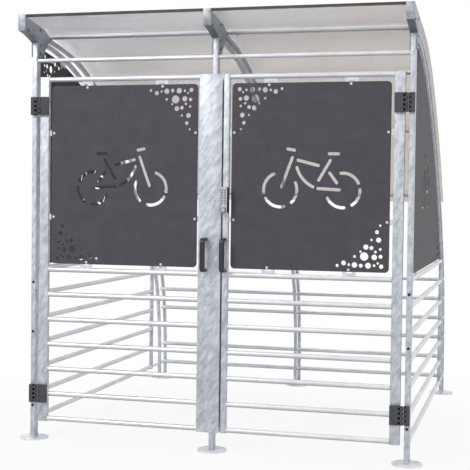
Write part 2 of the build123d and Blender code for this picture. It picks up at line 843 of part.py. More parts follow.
nodes["left_leaf_outer_stile"] = mirrored([outer_stile()])
nodes["left_leaf_centre_stile"] = [centre_stile(left_stile_outer_x, left_stile_inner_x)]
nodes["left_leaf_rails"] = mirrored(leaf_rails(-left_stile_outer_x))
nodes["left_leaf_panel"] = mirrored([leaf_panel(-left_panel_inner_x)])
nodes["left_leaf_clips"] = mirrored(leaf_clips(-left_panel_inner_x, -left_stile_outer_x))
nodes["left_leaf_cover_plate"] = [cover_plate()]
left_handle_x = cover_right_x - left_handle_seam_gap - handle_width / 2
nodes["left_leaf_handle"] = [handle(left_handle_x, leaf_front_y - cover_plate_thickness)]

nodes["right_leaf_outer_stile"] = [outer_stile()]
nodes["right_leaf_centre_stile"] = [centre_stile(right_stile_inner_x, right_stile_outer_x)]
nodes["right_leaf_rails"] = leaf_rails(right_stile_outer_x)
nodes["right_leaf_panel"] = [leaf_panel(right_panel_inner_x)]
nodes["right_leaf_clips"] = leaf_clips(right_panel_inner_x, right_stile_outer_x)
right_handle_x = cover_right_x + fitting_seam_gap + handle_width / 2
nodes["right_leaf_handle"] = [handle(right_handle_x, leaf_front_y)]
nodes["keypad_lock"] = [keypad_lock()]

os.makedirs("parts", exist_ok=True)
for name, shapes in nodes.items():
    export_step(Compound(solids_of(shapes)), "parts/" + name + ".step")
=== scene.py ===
import json
import math

import bmesh
import bpy
from mathutils import Matrix, Vector

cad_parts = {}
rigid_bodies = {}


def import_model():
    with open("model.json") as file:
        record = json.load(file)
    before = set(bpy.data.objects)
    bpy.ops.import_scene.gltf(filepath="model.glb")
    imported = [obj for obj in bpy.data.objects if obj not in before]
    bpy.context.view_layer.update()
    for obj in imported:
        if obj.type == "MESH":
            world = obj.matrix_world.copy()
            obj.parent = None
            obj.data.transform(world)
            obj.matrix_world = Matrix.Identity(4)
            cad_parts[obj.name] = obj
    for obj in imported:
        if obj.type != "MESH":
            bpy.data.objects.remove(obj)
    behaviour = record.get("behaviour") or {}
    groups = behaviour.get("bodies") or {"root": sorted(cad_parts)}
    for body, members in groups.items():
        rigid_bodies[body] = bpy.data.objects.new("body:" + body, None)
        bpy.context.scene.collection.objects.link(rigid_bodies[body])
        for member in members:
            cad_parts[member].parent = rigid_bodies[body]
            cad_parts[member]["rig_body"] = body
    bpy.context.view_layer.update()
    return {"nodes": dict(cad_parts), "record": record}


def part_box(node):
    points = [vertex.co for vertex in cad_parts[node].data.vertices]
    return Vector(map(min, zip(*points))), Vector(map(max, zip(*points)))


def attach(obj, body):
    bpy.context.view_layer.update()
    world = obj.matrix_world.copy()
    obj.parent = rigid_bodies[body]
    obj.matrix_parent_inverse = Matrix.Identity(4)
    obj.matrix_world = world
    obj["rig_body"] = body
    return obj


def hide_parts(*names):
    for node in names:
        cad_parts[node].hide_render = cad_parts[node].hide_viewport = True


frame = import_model()
nodes = frame["nodes"]

# Bike shelter with two door leaves: finishes, round tubes, cut panels and small fittings.
# X runs to the right along the doors, Y to the back and Z up, in metres.
# Sizes are written in millimetres times mm.

mm = 0.001

# Round tubes
rail_diameter = 27 * mm
header_diameter = 22.5 * mm
purlin_diameter = 26 * mm
purlin_wall = 2.6 * mm
tie_diameter = 20 * mm
tube_sides = 36
weld_width = 3.5 * mm
weld_height = 1.8 * mm
weld_crown = (0.6, 0.55)
cap_rise = 4 * mm
cap_angles = (0.4, 0.8, 1.2)

# Rounded edges of folded and cast pieces
tube_corner = 2.2 * mm
sheet_edge = 0.6 * mm
plate_edge = 1.5 * mm
grip_edge = 5 * mm
flat_angle = math.radians(0.5)
edge_angle = math.radians(40)
shade_angle = math.radians(38)
same_point = 1e-6

# Panel cut-outs, from the panel's inner edge and top, or from the front hub
panel_corner = 22 * mm
bike_hub_inset = 261 * mm
bike_hub_rise = 413.5 * mm
bike_wheel_radius = 88 * mm
bike_wheelbase = 326 * mm
bike_stroke = 16 * mm
front_wheel_arcs = [(105, 90), (205, 83), (308, 82)]
rear_wheel_arcs = [(20, 82), (202, 78), (298, 70)]
bike_strokes = {
    "handlebar": ((30, 212), (81, 203)),
    "head_and_fork": ((65, 174), (4, 8)),
    "top_tube": ((85, 155), (206, 124)),
    "saddle": ((246, 186), (309, 186)),
    "seat_tube": ((264, 159), (197, 44)),
    "chain_stay": ((190, 9), (316, 2)),
    "seat_stay": ((253, 94), (299, 32)),
}
down_tube_centre = (238, 159)
down_tube_radius = 157
down_tube_arc = (193, 55)
side_bike_y = 640 * mm
side_bubble_inset = 35 * mm
side_bubble_tilt = 9
side_bubble_reach = 335 * mm
hole_margin = 3 * mm
end_steps = 8
circle_sides = 28
straight_enough = 1e-9
bubbles = [
    (39, 31, 11), (57, 47, 6), (75, 35, 7), (106, 34, 15), (143, 33, 10), (175, 36, 14),
    (204, 37, 7), (231, 45, 12), (264, 31, 8), (43, 81, 10), (75, 77, 14), (126, 80, 21),
    (175, 79, 7), (69, 104, 7), (145, 104, 6), (45, 118, 7), (90, 124, 10), (118, 128, 13),
    (54, 165, 13), (90, 165, 6), (63, 205, 10), (47, 238, 6),
]

# Fixings
rivet_radius = 7 * mm
rivet_rise = 2.5 * mm
rivet_columns = (290 * mm, 716 * mm)
rivet_side_heights = (1225 * mm, 1679 * mm)
rivet_end_inset = 10.5 * mm
rivet_side_inset = 13 * mm
plug_heights = (864 * mm, 592 * mm, 184 * mm)
plug_radius = 8 * mm
cheek_bolts = [(-127, 2220), (22, 2242), (23, 2160), (24, 2114)]
cheek_reach = 6 * mm
bolt_radius = 6.5 * mm
bolt_rise = 4 * mm
purlin_bolt_places = (-960, -520, -60, 60, 520, 960)
bolt_sides = 6
shank_radius = 3 * mm
shank_length = 9 * mm
shank_sides = 16
dome_angles = (0.0, 0.5, 0.9, 1.25)
dome_sides = 20

# Hinge combs, lock and clips
comb_rows = 7
comb_row = 12 * mm
comb_root = 20 * mm
comb_step = 1 * mm
comb_gap = 0.4 * mm
comb_corner = 2 * mm
comb_back = 0.5 * mm
comb_back_start = 7.5 * mm
comb_back_y = -5.5 * mm
barrel_radius = 6.5 * mm
barrel_sides = 20
lock_round = 3 * mm
key_rows = 6
key_drop = 18 * mm
key_rise = 1.8 * mm
key_pitch = 13 * mm
key_column = 7.5 * mm
key_radius = 4.2 * mm
knob_depth = 9 * mm
knob_height = 17 * mm
knob_ring = 14.5 * mm
knob_ring_depth = 1 * mm
lock_front = 8 * mm
lock_lip = 2 * mm
lock_skin = 0.8 * mm
clip_slot = 34 * mm
clip_slot_height = 7 * mm
clip_corner_share = 0.18
slotted_width = 51 * mm

# Finishes: sizes of the zinc crystals, coat grain and roof channels, and how strongly each shows
cloud_detail = 6
cloud_roughness = 0.66
cloud_range = (0.34, 0.66)
zinc_metallic = 0.45
plated_metallic = 0.9
crystal_size = 16 * mm
crystal_relief = 0.3 * mm
crystal_strength = 0.15
# Painted shade on galvanised undersides: full strength from this downward normal, fading out towards level
# faces
underside_shade_from = -0.75
coat_cloud = 90 * mm
coat_ior = 1.5
grain_size = 3 * mm
grain_relief = 0.15 * mm
grain_strength = 0.25
plated_cloud = 12 * mm
roof_clarity = 0.82
roof_ior = 1.585
roof_roughness = 0.25
roof_cloud = 600 * mm
roof_half_width = 1100 * mm
roof_side_share = 0.75
roof_aged_depth = 1200 * mm
roof_depth_share = 0.35
channel_pitch = 20 * mm
channel_web = 0.16
channel_strength = 0.35
channel_relief = 0.4 * mm
channel_bump = 0.2


# Materials

def linear(code):
    """Linear colour of an sRGB hex code."""
    parts = [int(code[i:i + 2], 16) / 255 for i in (1, 3, 5)]
    return (*[c / 12.92 if c <= 0.04045 else ((c + 0.055) / 1.055) ** 2.4 for c in parts], 1.0)


def add(tree, kind, inputs, **settings):
    """Adds a node with its settings, and gives each input a value or a link."""
    node = tree.nodes.new("ShaderNode" + kind)
    for name, value in settings.items():
        setattr(node, name, value)
    for socket, value in inputs.items():
        if isinstance(value, bpy.types.NodeSocket):
            tree.links.new(value, node.inputs[socket])
        else:
            node.inputs[socket].default_value = value
    return node


def material(name, shader_inputs):
    """New material with a Principled shader, and its tree and shader."""
    made = bpy.data.materials.new(name)
    made.use_nodes = True
    tree = made.node_tree
    shader = tree.nodes["Principled BSDF"]
    for socket, value in shader_inputs.items():
        shader.inputs[socket].default_value = value
    return made, tree, shader


def mottled(tree, shader, size, dark, light, drawn=1, turn=0.0, rough=None):
    """Clouds between two colours at a size in metres, drawn out and turned where they are streaky."""
    place = add(tree, "TexCoord", {})
    lay = add(
        tree, "Mapping",
        {"Vector": place.outputs["Object"], "Scale": (1, 1, drawn), "Rotation": (0, turn, 0)},
        vector_type="TEXTURE",
    )
    cloud = add(tree, "TexNoise", {"Vector": lay.outputs[0], "Scale": 1 / size, "Detail": cloud_detail,
                                  "Roughness": cloud_roughness})
    ramp = add(tree, "ValToRGB", {"Fac": cloud.outputs["Fac"]})
    ramp.color_ramp.elements[0].position = cloud_range[0]
    ramp.color_ramp.elements[0].color = linear(dark)
    ramp.color_ramp.elements[1].position = cloud_range[1]
    ramp.color_ramp.elements[1].color = linear(light)
    tree.links.new(ramp.outputs[0], shader.inputs["Base Color"])
    if rough:
        limits = {"To Min": rough[0], "To Max": rough[1]}
        spread = add(tree, "MapRange", {"Value": cloud.outputs["Fac"], **limits})
        tree.links.new(spread.outputs[0], shader.inputs["Roughness"])
    return lay, ramp


def galvanised(
    name, dark, light, size, drawn=1, turn=0.0, rough=(0.36, 0.52), sparkle=(0.88, 1.06), under=0.72
):
    """Hot-dip zinc: cloudy blue-grey crystals that catch the light one by one, with painted shade darkening
    the undersides.
    """
    made, tree, shader = material(name, {"Metallic": zinc_metallic})
    lay, ramp = mottled(tree, shader, size, dark, light, drawn, turn, rough)
    # Spangle is 5 to 12 mm across, drawn at 16 mm so that it shows
    crystal = add(tree, "TexVoronoi", {"Vector": lay.outputs[0], "Scale": 1 / crystal_size})
    limits = {"To Min": sparkle[0], "To Max": sparkle[1]}
    tone = add(tree, "MapRange", {"Value": crystal.outputs["Color"], **limits})
    # Painted shade: faces that turn downwards are darkened, as shade falls under things
    surface = add(tree, "NewGeometry", {})
    facing = add(tree, "SeparateXYZ", {"Vector": surface.outputs["Normal"]})
    fade = {"From Min": underside_shade_from, "From Max": 0.0, "To Min": under}
    dull = add(tree, "MapRange", {"Value": facing.outputs[2], **fade})
    multiply = {"data_type": "RGBA", "blend_type": "MULTIPLY"}
    bright = add(tree, "Mix", {0: 1.0, 6: ramp.outputs[0], 7: tone.outputs[0]}, **multiply)
    under_shaded = add(tree, "Mix", {0: 1.0, 6: bright.outputs[2], 7: dull.outputs[0]}, **multiply)
    tree.links.new(under_shaded.outputs[2], shader.inputs["Base Color"])
    relief = {"Distance": crystal_relief, "Strength": crystal_strength}
    bump = add(tree, "Bump", {"Height": crystal.outputs["Distance"], **relief})
    tree.links.new(bump.outputs[0], shader.inputs["Normal"])
    return made


# Hot-dip galvanised box section: pale, blue-grey and softly clouded
galvanised_section = galvanised(
    "galvanised_box_section", "#AEB3BE", "#E2E5EB", 26 * mm, drawn=2.2, turn=0.35
)
# Galvanised and fettled cover strip: diagonal wiped streaks
galvanised_cover = galvanised("galvanised_wiped_cover", "#AEB4BF", "#E2E5EA", 19 * mm, drawn=2.6, turn=0.6)
# Bright galvanised round tube: smoother, so its top shows a clean highlight; painted shade darkens its
# underside strongly
bright_tube = galvanised(
    "galvanised_round_tube", "#DADDE2", "#F0F2F5", 260 * mm,
    rough=(0.26, 0.32), sparkle=(0.97, 1.02), under=0.5,
)
# Galvanised flat plate of the brackets: greyer and duller than the posts, with the strongest painted shade
# on its undersides
galvanised_plate = galvanised("galvanised_bracket_plate", "#9399A3", "#C0C5CD", 34 * mm, under=0.28)
# Galvanised foot disc: pale top with a dull sheen
galvanised_foot = galvanised("galvanised_foot_disc", "#E6E9EF", "#F8F9FB", 50 * mm)


def powder_coat(name, dark, light, roughness):
    """Fine-textured powder coat or moulded plastic: even and dull, with a faint grain."""
    made, tree, shader = material(name, {"Roughness": roughness, "IOR": coat_ior})
    lay, _ = mottled(tree, shader, coat_cloud, dark, light)
    # The grain is under 1 mm, drawn at 3 mm so that it shows
    grain = add(tree, "TexNoise", {"Vector": lay.outputs[0], "Scale": 1 / grain_size, "Detail": 2})
    relief = {"Distance": grain_relief, "Strength": grain_strength}
    bump = add(tree, "Bump", {"Height": grain.outputs["Fac"], **relief})
    tree.links.new(bump.outputs[0], shader.inputs["Normal"])
    return made


# Anthracite powder-coated steel sheet: a cool dark grey with faint clouds
anthracite_sheet = powder_coat("powder_coated_anthracite_sheet", "#434148", "#4D4B53", 0.66)
# Black powder-coated aluminium grip: satin, a soft sheen along its edges
grip_black = powder_coat("powder_coated_satin_black", "#232327", "#2D2D33", 0.36)
# Glass-filled polyamide made near black as painted shade in the hinge recesses: matt, it takes almost no
# light
hinge_shade_black = powder_coat("polyamide_painted_recess_shade", "#050506", "#0A0A0B", 0.75)
# The same polyamide on the combs, painted lighter grey as its lit faces, so that the recesses between
# fingers read as black
hinge_lit_grey = powder_coat("polyamide_covers_painted_lit", "#3A3A3D", "#4C4C50", 0.55)
# Polythene plug: plain matt black
plug_black = powder_coat("moulded_black_polythene", "#0C0C0D", "#131314", 0.6)
# Dark anodised edge channel of the roof: a thin satin line
edge_dark = powder_coat("anodised_dark_channel", "#3C3B38", "#4B4A46", 0.4)


def zinc_plated(name, dark, light, roughness):
    """Electroplated zinc: bright, even and a little blue."""
    made, tree, shader = material(name, {"Metallic": plated_metallic, "Roughness": roughness})
    mottled(tree, shader, plated_cloud, dark, light)
    return made


# Zinc-plated clips, bolts and rivet heads: small bright points
plated_zinc = zinc_plated("zinc_plated_fixings", "#C4C8CE", "#E6E8EB", 0.3)
# Bolt heads of the brackets: dark points on the grey cheeks
bolt_dark = zinc_plated("dark_bolt_heads", "#3E4148", "#585C64", 0.5)
# Painted rivet heads: near white, they stand out on the dark sheet
rivet_white = powder_coat("painted_rivet_heads", "#E4E4E4", "#F1F1F1", 0.4)
# Satin nickel on cast zinc: warm silver lock body
satin_nickel = zinc_plated("satin_nickel_casting", "#A5A7AA", "#BFC1C3", 0.34)
# Moulded grey keys of the lock
key_grey = powder_coat("moulded_grey_keys", "#4A4B4E", "#5A5B5E", 0.5)


def twin_wall():
    """Extruded polycarbonate: milky, light comes through, with channel lines from front to back."""
    made, tree, shader = material(
        "extruded_twin_wall_polycarbonate",
        {"Roughness": roof_roughness, "IOR": roof_ior, "Transmission Weight": roof_clarity},
    )
    place = add(tree, "TexCoord", {})
    axes = add(tree, "SeparateXYZ", {"Vector": place.outputs["Object"]})
    # Older sheet yellows unevenly: cool and pale at one side, beige towards the other
    cloud = add(tree, "TexNoise", {"Vector": place.outputs["Object"], "Scale": 1 / roof_cloud, "Detail": 2})
    width = {"From Min": -roof_half_width, "From Max": roof_half_width, "To Max": roof_side_share}
    side = add(tree, "MapRange", {"Value": axes.outputs[0], **width})
    age = add(tree, "Math", {0: side.outputs[0], 1: cloud.outputs["Fac"]}, operation="MULTIPLY")
    back = {"From Min": 0.0, "From Max": roof_aged_depth, "To Max": roof_depth_share}
    depth = add(tree, "MapRange", {"Value": axes.outputs[1], **back})
    share = add(tree, "Math", {0: age.outputs[0], 1: depth.outputs[0]}, operation="ADD", use_clamp=True)
    ages = {0: share.outputs[0], 6: linear("#F2F1F7"), 7: linear("#D9CDBA")}
    tint = add(tree, "Mix", ages, data_type="RGBA")
    # The channels are 10 mm wide, drawn at 20 mm so that they show
    count = add(tree, "Math", {0: axes.outputs[0], 1: 1 / channel_pitch}, operation="MULTIPLY")
    part = add(tree, "Math", {0: count.outputs[0]}, operation="FRACT")
    web = add(tree, "Math", {0: part.outputs[0], 1: channel_web}, operation="LESS_THAN")
    faint = add(tree, "Math", {0: web.outputs[0], 1: channel_strength}, operation="MULTIPLY")
    lines = {0: faint.outputs[0], 6: tint.outputs[2], 7: linear("#C9C3BB")}
    tone = add(tree, "Mix", lines, data_type="RGBA")
    tree.links.new(tone.outputs[2], shader.inputs["Base Color"])
    relief = {"Distance": channel_relief, "Strength": channel_bump}
    bump = add(tree, "Bump", {"Height": web.outputs[0], **relief})
    tree.links.new(bump.outputs[0], shader.inputs["Normal"])
    return made


roof_sheet = twin_wall()


# Mesh work

def turned(bm, profile, origin, axis, sides=tube_sides):
    """Adds a turned shape from (distance along the axis, radius) pairs."""
    axis = Vector(axis).normalized()
    across = axis.orthogonal().normalized()
    other = axis.cross(across)
    turns = [2 * math.pi * i / sides for i in range(sides)]
    rings = []
    for along, radius in profile:
        centre = Vector(origin) + axis * along
        if radius == 0:
            rings.append([bm.verts.new(centre)])
        else:
            spokes = [across * math.cos(a) + other * math.sin(a) for a in turns]
            rings.append([bm.verts.new(centre + spoke * radius) for spoke in spokes])
    for low, high in zip(rings, rings[1:]):
        for i in range(sides):
            after = i + 1
            near = [low[i % len(low)], low[after % len(low)]]
            corners = [*near, high[after % len(high)], high[i % len(high)]]
            bm.faces.new(list(dict.fromkeys(corners)))


def piece(name, bm, body, finish, replaced=()):
    """Turns mesh work into a piece that rides on a body."""
    bmesh.ops.remove_doubles(bm, verts=bm.verts, dist=same_point)
    bmesh.ops.recalc_face_normals(bm, faces=bm.faces)
    mesh = bpy.data.meshes.new(name)
    bm.to_mesh(mesh)
    bm.free()
    mesh.shade_smooth()
    mesh.set_sharp_from_angle(angle=shade_angle)
    mesh.materials.append(finish)
    made = bpy.data.objects.new(name, mesh)
    bpy.context.scene.collection.objects.link(made)
    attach(made, body)
    if replaced:
        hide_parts(*replaced)


def body_of(node):
    """Body that a CAD node rides on."""
    return nodes[node]["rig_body"]


def solid_mesh(node):
    """Mesh work with the shape of a CAD node, its split corners joined again."""
    bm = bmesh.new()
    bm.from_mesh(nodes[node].data)
    bmesh.ops.remove_doubles(bm, verts=bm.verts, dist=same_point)
    return bm


def islands(node):
    """Lowest and highest corner of each separate solid of a CAD node."""
    bm = solid_mesh(node)
    left = set(bm.verts)
    boxes = []
    while left:
        grown = [left.pop()]
        low, high = grown[0].co.copy(), grown[0].co.copy()
        while grown:
            vert = grown.pop()
            low = Vector(map(min, low, vert.co))
            high = Vector(map(max, high, vert.co))
            for edge in vert.link_edges:
                other = edge.other_vert(vert)
                if other in left:
                    left.remove(other)
                    grown.append(other)
        boxes.append((low, high))
    bm.free()
    return sorted(boxes, key=lambda box: (round(box[0].z, 4), round(box[0].x, 4), round(box[0].y, 4)))


def eased(node, edge, finish, segments=2):
    """Piece that stands for a CAD node, with the edges rounded as they are on the real section."""
    bm = solid_mesh(node)
    bmesh.ops.dissolve_limit(bm, angle_limit=flat_angle, verts=bm.verts, edges=bm.edges)
    sharp = [e for e in bm.edges if len(e.link_faces) == 2 and e.calc_face_angle() > edge_angle]
    bmesh.ops.bevel(
        bm, geom=sharp, offset=edge, segments=segments, profile=0.5, affect="EDGES", clamp_overlap=True
    )
    piece(node + "_eased", bm, body_of(node), finish, (node,))


def tubes(node, axis, diameter, finish, wall=None, welded=(True, True), capped=False):
    """Round tubes that stand for a node's bars, with weld beads or caps at their ends."""
    bm = bmesh.new()
    radius = diameter / 2
    direction = Vector([float(i == axis) for i in range(3)])
    for low, high in islands(node):
        start = (low + high) / 2
        start[axis] = low[axis]
        length = high[axis] - low[axis]
        if wall:
            inner = radius - wall
            profile = [(0, inner), (0, radius), (length, radius), (length, inner), (0, inner)]
        elif capped:
            dome = [(cap_rise * math.sin(a), radius * math.cos(a)) for a in cap_angles]
            profile = [(-cap_rise, 0)] + [(-h, r) for h, r in reversed(dome)] + [(0, radius)]
            profile += [(length, radius)] + [(length + h, r) for h, r in dome] + [(length + cap_rise, 0)]
        else:
            profile = [(0, 0), (0, radius), (length, radius), (length, 0)]
        turned(bm, profile, start, direction)
        for is_welded, place, way in ((welded[0], 0, 1), (welded[1], length, -1)):
            if is_welded:
                crown = (weld_width * weld_crown[0], radius + weld_height * weld_crown[1])
                bead = [(0, radius), (0, radius + weld_height), crown, (weld_width, radius)]
                turned(bm, bead, start + direction * place, direction * way)
    piece(node + "_round", bm, body_of(node), finish, (node,))


# Flat sheet work: outlines in millimetres become sheets with real cut-outs

def circle(x, y, radius, count=circle_sides):
    """Outline of a round hole."""
    turns = [2 * math.pi * i / count for i in range(count)]
    return [(x + radius * math.cos(a), y + radius * math.sin(a)) for a in turns]


def round_slot(start, end, width, count=end_steps):
    """Outline of a straight slot from one end to the other, with round ends."""
    lean = math.atan2(end[1] - start[1], end[0] - start[0])
    inset = (width / 2 * math.cos(lean), width / 2 * math.sin(lean))
    start = (start[0] + inset[0], start[1] + inset[1])
    end = (end[0] - inset[0], end[1] - inset[1])
    points = []
    for centre, first in ((end, lean - math.pi / 2), (start, lean + math.pi / 2)):
        points += [
            (centre[0] + width / 2 * math.cos(first + math.pi * i / count),
             centre[1] + width / 2 * math.sin(first + math.pi * i / count))
            for i in range(count + 1)
        ]
    return points


def arc_slot(centre, radius, first, size, width, count=18):
    """Outline of a curved slot with round ends, with its angles in degrees."""
    half = width / 2
    start = math.radians(first) + half / radius
    turn = math.radians(size) - 2 * half / radius
    outer = [(start + turn * i / count, radius + half) for i in range(count + 1)]
    inner = [(start + turn * i / count, radius - half) for i in reversed(range(count + 1))]
    around = [(centre[0] + r * math.cos(a), centre[1] + r * math.sin(a)) for a, r in outer]
    for angle, way, stretch in ((start + turn, 1, inner), (start, -1, [])):
        middle = (centre[0] + radius * math.cos(angle), centre[1] + radius * math.sin(angle))
        opening = angle if way > 0 else angle + math.pi
        around += [
            (middle[0] + half * math.cos(opening + math.pi * i / end_steps),
             middle[1] + half * math.sin(opening + math.pi * i / end_steps))
            for i in range(1, end_steps)
        ]
        around += [(centre[0] + r * math.cos(a), centre[1] + r * math.sin(a)) for a, r in stretch]
    return around


def round_rectangle(x0, y0, x1, y1, corner, count=end_steps):
    """Outline of a rectangle with round corners."""
    points = []
    for cx, cy, first in (
        (x1 - corner, y0 + corner, -90), (x1 - corner, y1 - corner, 0),
        (x0 + corner, y1 - corner, 90), (x0 + corner, y0 + corner, 180),
    ):
        for i in range(count + 1):
            angle = math.radians(first + 90 * i / count)
            points.append((cx + corner * math.cos(angle), cy + corner * math.sin(angle)))
    return points


def sheet(outline, holes, thickness, place, bm):
    """Adds a flat sheet with cut-outs to mesh work; place maps its plane into the frame."""
    curve = bpy.data.curves.new("outline", "CURVE")
    curve.dimensions = "2D"
    curve.fill_mode = "BOTH"
    curve.extrude = thickness / 2
    for points in [outline, *holes]:
        spline = curve.splines.new("POLY")
        spline.points.add(len(points) - 1)
        for point, (x, y) in zip(spline.points, points):
            point.co = (x, y, 0, 1)
        spline.use_cyclic_u = True
    holder = bpy.data.objects.new("outline", curve)
    flat = bpy.data.meshes.new_from_object(holder)
    flat.transform(place)
    bm.from_mesh(flat)
    bpy.data.objects.remove(holder)
    bpy.data.curves.remove(curve)
    bpy.data.meshes.remove(flat)


def bicycle(hub_x, hub_y, way):
    """Cut-outs of the bicycle from its front hub; way is 1 where it faces left."""
    def at(point):
        return hub_x + way * point[0] * mm, hub_y + point[1] * mm

    def arc(centre, radius, first, size):
        start = first if way > 0 else 180 - first - size
        return arc_slot(at(centre), radius, start, size, bike_stroke)

    cuts = [arc((0, 0), bike_wheel_radius, *part) for part in front_wheel_arcs]
    cuts += [arc((bike_wheelbase / mm, 0), bike_wheel_radius, *part) for part in rear_wheel_arcs]
    cuts += [round_slot(at(start), at(end), bike_stroke) for start, end in bike_strokes.values()]
    cuts.append(arc(down_tube_centre, down_tube_radius * mm, *down_tube_arc))
    return cuts


def bubble_cuts(corner_x, corner_y, way_x, way_y, tilt=0.0):
    """Round cut-outs from a corner; the ways say which side of it they lie on."""
    cuts = []
    for along, drop, radius in bubbles:
        x, y = way_x * along * mm, way_y * drop * mm
        turned_x = x * math.cos(tilt) - y * math.sin(tilt)
        turned_y = x * math.sin(tilt) + y * math.cos(tilt)
        cuts.append(circle(corner_x + turned_x, corner_y + turned_y, radius * mm))
    return cuts


def upright_plane(y):
    """Plane of the door panels: its x is X and its y is Z."""
    return Matrix(((1, 0, 0, 0), (0, 0, -1, y), (0, 1, 0, 0), (0, 0, 0, 1)))


def side_plane(x):
    """Plane of the side panels: its x is Y and its y is Z."""
    return Matrix(((0, 0, 1, x), (1, 0, 0, 0), (0, 1, 0, 0), (0, 0, 0, 1)))


def leaf_panel(node, side):
    """Door panel with its bicycle and two corners of bubbles; side is 1 on the right leaf."""
    low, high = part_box(node)
    inner_x = low.x if side > 0 else high.x
    outer_x = high.x if side > 0 else low.x
    holes = bicycle(inner_x + side * bike_hub_inset, low.z + bike_hub_rise, side)
    holes += bubble_cuts(inner_x, high.z, side, -1)
    holes += bubble_cuts(outer_x, low.z, -side, 1)
    bm = bmesh.new()
    outline = round_rectangle(low.x, low.z, high.x, high.z, panel_corner)
    sheet(outline, holes, high.y - low.y, upright_plane((low.y + high.y) / 2), bm)
    piece(node + "_cut", bm, body_of(node), anthracite_sheet, (node,))


def hull(points):
    """Outline round a set of flat points, where it is convex."""
    points = sorted(set(points))
    sides = []
    for ordered in (points, points[::-1]):
        chain = []
        for p in ordered:
            while len(chain) > 1:
                a, b = chain[-2], chain[-1]
                if (b[0] - a[0]) * (p[1] - a[1]) - (b[1] - a[1]) * (p[0] - a[0]) > straight_enough:
                    break
                chain.pop()
            chain.append(p)
        sides += chain[:-1]
    return sides


def fits(outline, hole):
    """True where a hole lies inside a convex outline with some metal left beside it."""
    for a, b in zip(outline, outline[1:] + outline[:1]):
        length = math.dist(a, b)
        for p in hole:
            if ((b[0] - a[0]) * (p[1] - a[1]) - (b[1] - a[1]) * (p[0] - a[0])) / length < hole_margin:
                return False
    return True


def side_panel(node):
    """Side panel in the outline of its CAD node, with the cut-outs that fit inside it."""
    low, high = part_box(node)
    outline = hull([(round(v.co.y, 6), round(v.co.z, 6)) for v in nodes[node].data.vertices])
    tilt = -math.radians(side_bubble_tilt)
    holes = bicycle(side_bike_y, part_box("right_leaf_panel")[0].z + bike_hub_rise, 1)
    holes += bubble_cuts(low.y + side_bubble_inset, high.z, 1, -1, tilt)
    holes += bubble_cuts(high.y - side_bubble_reach, low.z, 1, 1)
    holes = [hole for hole in holes if fits(outline, hole)]
    bm = bmesh.new()
    sheet(outline, holes, high.x - low.x, side_plane((low.x + high.x) / 2), bm)
    piece(node + "_cut", bm, body_of(node), anthracite_sheet, (node,))


for node, side in (("left_leaf_panel", -1), ("right_leaf_panel", 1)):
    leaf_panel(node, side)
for name in ("left", "right"):
    side_panel("side_panel_" + name)


# Round tubes

for name in ("left", "right"):
    tubes(name + "_leaf_rails", 0, rail_diameter, bright_tube)
    tubes("side_rails_" + name, 1, rail_diameter, bright_tube)
    tubes("leg_ties_" + name, 1, tie_diameter, galvanised_foot, welded=(False, False))
tubes("header_rails", 0, header_diameter, bright_tube)
tubes("rear_rails", 0, rail_diameter, bright_tube, welded=(False, False), capped=True)
tubes("roof_purlins", 0, purlin_diameter, bright_tube, purlin_wall, (False, False))


# Box sections, plates and castings

for name in ("left", "middle", "right"):
    eased("front_post_" + name, tube_corner, galvanised_section)
    eased("arched_rib_" + name, tube_corner, galvanised_section)
    eased("knee_bracket_" + name, sheet_edge, galvanised_plate)
for name in ("left", "right"):
    eased("side_stile_" + name, tube_corner, galvanised_section)
    eased(name + "_leaf_outer_stile", tube_corner, galvanised_section)
    eased(name + "_leaf_centre_stile", tube_corner, galvanised_section)
    eased(name + "_leaf_handle", grip_edge, grip_black, 3)
eased("left_leaf_cover_plate", sheet_edge, galvanised_cover)
eased("centre_stops", sheet_edge, galvanised_section)
eased("front_feet", plate_edge, galvanised_foot)
eased("rear_feet", plate_edge, galvanised_foot)
eased("keypad_lock", sheet_edge, satin_nickel)


def keep(node, finish):
    """A CAD node that stays as it is, with its real finish."""
    nodes[node].data.materials.clear()
    nodes[node].data.materials.append(finish)


keep("roof_sheet", roof_sheet)
keep("roof_front_profile", edge_dark)


# Clips with their slots

def clips(node, across):
    """Slotted clip plates; across is the axis that the plates are thin along."""
    bm = bmesh.new()
    for low, high in islands(node):
        flat = 0 if across == 1 else 1
        width, height = high[flat] - low[flat], high.z - low.z
        middle = ((low[flat] + high[flat]) / 2, (low.z + high.z) / 2)
        corner = min(width, height) * clip_corner_share
        outline = round_rectangle(low[flat], low.z, high[flat], high.z, corner)
        holes = []
        if width > slotted_width:
            ends = (middle[0] - clip_slot / 2, middle[1]), (middle[0] + clip_slot / 2, middle[1])
            holes.append(round_slot(*ends, clip_slot_height))
        thickness = high[across] - low[across]
        depth = (low[across] + high[across]) / 2
        sheet(outline, holes, thickness, upright_plane(depth) if across == 1 else side_plane(depth), bm)
    piece(node + "_slotted", bm, body_of(node), plated_zinc, (node,))


clips("left_leaf_clips", 1)
clips("right_leaf_clips", 1)
for name in ("left", "right"):
    keep("side_panel_clips_" + name, plated_zinc)


# Rivets, plugs and bolts

def domed(bm, place, axis, radius, rise):
    """Low domed head that stands on a surface."""
    steps = [(rise * math.sin(a), radius * math.cos(a)) for a in dome_angles]
    turned(bm, [(-rise, 0), (-rise, radius), *steps, (rise, 0)], place, axis, dome_sides)


